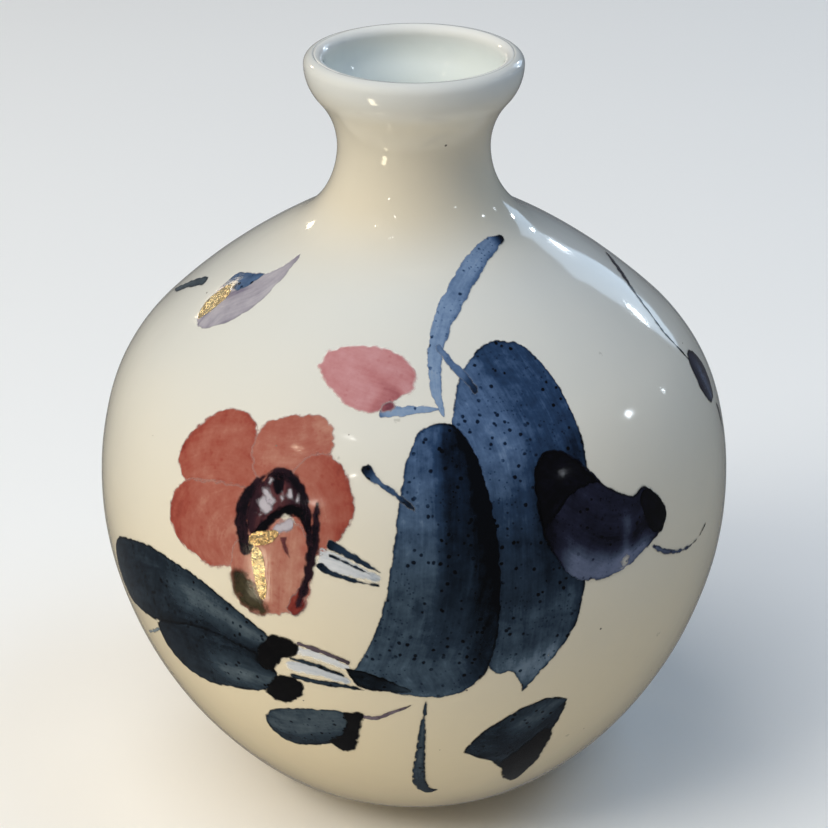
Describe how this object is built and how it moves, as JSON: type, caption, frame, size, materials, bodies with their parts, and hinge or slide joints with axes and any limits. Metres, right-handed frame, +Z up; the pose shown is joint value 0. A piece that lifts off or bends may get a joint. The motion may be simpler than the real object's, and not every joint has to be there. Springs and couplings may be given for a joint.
{
  "type": "sake bottle",
  "caption": "Round-bellied porcelain sake bottle with a short waisted neck, flared mouth and low foot ring, painted with a red camellia and blue leaves.",
  "frame": {"origin": "centre of the foot's rim, on the surface the bottle stands on", "axes": "+Z up along the axis of revolution; the painted camellia and tall leaves face -Y; +X to the right seen from the front"},
  "size_m": [0.0962, 0.0964, 0.116],
  "materials": {
    "porcelain": "bare fired porcelain, matt",
    "clear_glaze": "glossy off-white glaze",
    "celadon_glaze": "glossy pale blue-green glaze",
    "iron_red": "iron-red enamel, streaky",
    "rose": "rose enamel wash",
    "iron_black": "brownish-black brush line",
    "cobalt_light": "thin cobalt wash",
    "cobalt_dark": "thick cobalt wash, speckled",
    "mauve": "grey-purple wash",
    "gold_lustre": "thin fired gold, worn"
  },
  "bodies": {
    "root": {"foot_ring": "porcelain", "lower_body": "porcelain", "upper_body": "porcelain", "neck": "porcelain", "outer_glaze": "clear_glaze", "base_glaze": "clear_glaze", "inner_glaze": "celadon_glaze", "camellia_petal_top_left": "iron_red", "camellia_petal_top_right": "iron_red", "camellia_petal_right": "iron_red", "camellia_petal_left": "iron_red", "camellia_petal_bottom": "iron_red", "camellia_bud": "rose", "camellia_heart": "iron_black", "flower_spur": "iron_black", "flower_stalk": "iron_black", "small_leaf_stem": "iron_black", "upper_side_stem": "iron_black", "lower_side_stem": "iron_black", "stem": "cobalt_light", "bud_stalk": "cobalt_light", "back_leaf": "cobalt_light", "tendril": "cobalt_light", "front_leaf": "cobalt_dark", "dark_petal": "cobalt_dark", "upper_side_leaf": "cobalt_dark", "lower_side_leaf": "cobalt_dark", "small_leaf": "cobalt_dark", "low_leaf": "cobalt_dark", "bottom_stem": "cobalt_dark", "back_shoulder_leaf": "cobalt_dark", "twig": "cobalt_dark", "twig_blossom": "cobalt_dark", "twig_bud": "cobalt_dark", "shoulder_leaf": "mauve", "camellia_gilding": "gold_lustre", "shoulder_leaf_gilding": "gold_lustre"}
  },
  "joints": []
}
